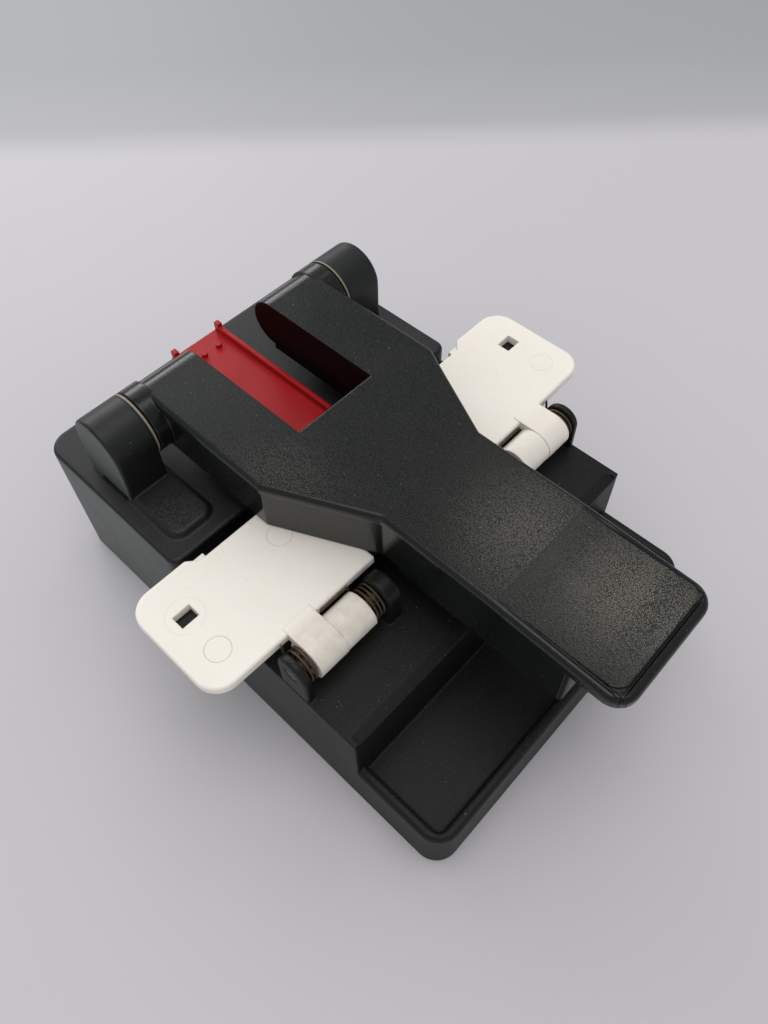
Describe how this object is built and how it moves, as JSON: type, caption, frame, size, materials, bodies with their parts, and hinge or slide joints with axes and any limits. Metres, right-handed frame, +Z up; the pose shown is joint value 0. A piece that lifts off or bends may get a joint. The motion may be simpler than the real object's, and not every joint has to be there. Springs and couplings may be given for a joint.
{
  "type": "film splicer",
  "caption": "Tabletop film splicer: stepped black housing with front tray, hinged lever arm with open tape slot, red tape guide and two sprung pale clamp plates.",
  "frame": {"origin": "on the table under the middle of the whole splicer's bounding box", "axes": "+X to the right clamp seen from the handle end, +Y from the handle to the hinge, +Z up from the table"},
  "size_m": [0.1078, 0.1276, 0.0536],
  "materials": {
    "housing_black": "satin moulded black",
    "arm_black": "smooth moulded black",
    "bed_black": "fine moulded black",
    "clamp_cream": "satin moulded cream white",
    "bush_cream": "self-lubricating cream plastic",
    "guide_red": "moulded red",
    "pin_brass": "turned brass",
    "spring_bronze": "drawn bronze wire",
    "tool_steel": "ground steel",
    "plain_steel": "zinc plated steel",
    "foot_rubber": "soft black rubber"
  },
  "bodies": {
    "base": {"base_shell": "housing_black", "base_cover": "housing_black", "feet": "foot_rubber", "cover_screws": "plain_steel", "film_bed": "bed_black", "splice_anvil": "tool_steel", "registration_pins": "tool_steel", "lower_blade": "tool_steel", "bed_screws": "plain_steel", "tape_guide": "guide_red", "tape_guide_screws": "plain_steel", "left_clamp_pin": "pin_brass", "right_clamp_pin": "pin_brass", "left_outer_spring": "spring_bronze", "left_inner_spring": "spring_bronze", "right_outer_spring": "spring_bronze", "right_inner_spring": "spring_bronze", "left_bush": "bush_cream", "right_bush": "bush_cream"},
    "arm": {"arm_shell": "arm_black", "left_axle": "plain_steel", "right_axle": "plain_steel", "knife_carrier": "bed_black", "front_tape_knife": "tool_steel", "rear_tape_knife": "tool_steel", "film_knife": "tool_steel", "carrier_screws": "plain_steel", "left_pad_spring": "plain_steel", "right_pad_spring": "plain_steel"},
    "pad": {"pressure_pad": "bed_black", "pad_face": "foot_rubber"},
    "left_plate": {"left_clamp": "clamp_cream"},
    "right_plate": {"right_clamp": "clamp_cream"}
  },
  "joints": [
    {"name": "arm_hinge", "type": "hinge", "parent": "base", "child": "arm", "pos_m": [0, 0.0437, 0.0463], "axis": [-1, 0, 0], "range_deg": [0, 75]},
    {"name": "left_plate_hinge", "type": "hinge", "parent": "base", "child": "left_plate", "pos_m": [-0.0298, -0.0155, 0.0363], "axis": [1, 0, 0], "range_deg": [0, 46], "deforming": ["left_outer_spring", "left_inner_spring"]},
    {"name": "right_plate_hinge", "type": "hinge", "parent": "base", "child": "right_plate", "pos_m": [0.0298, -0.0155, 0.0363], "axis": [1, 0, 0], "range_deg": [0, 46], "deforming": ["right_outer_spring", "right_inner_spring"]},
    {"name": "pad_slide", "type": "slide", "parent": "arm", "child": "pad", "axis": [0, 0, 1], "range_m": [0, 0.0012], "stiffness_N_per_m": 250, "springref_m": -0.002, "deforming": ["left_pad_spring", "right_pad_spring"]}
  ],
  "couplings": [
    {"joint": "left_plate_hinge", "follows": "arm_hinge", "ratio": 0.6},
    {"joint": "right_plate_hinge", "follows": "arm_hinge", "ratio": 0.6}
  ]
}
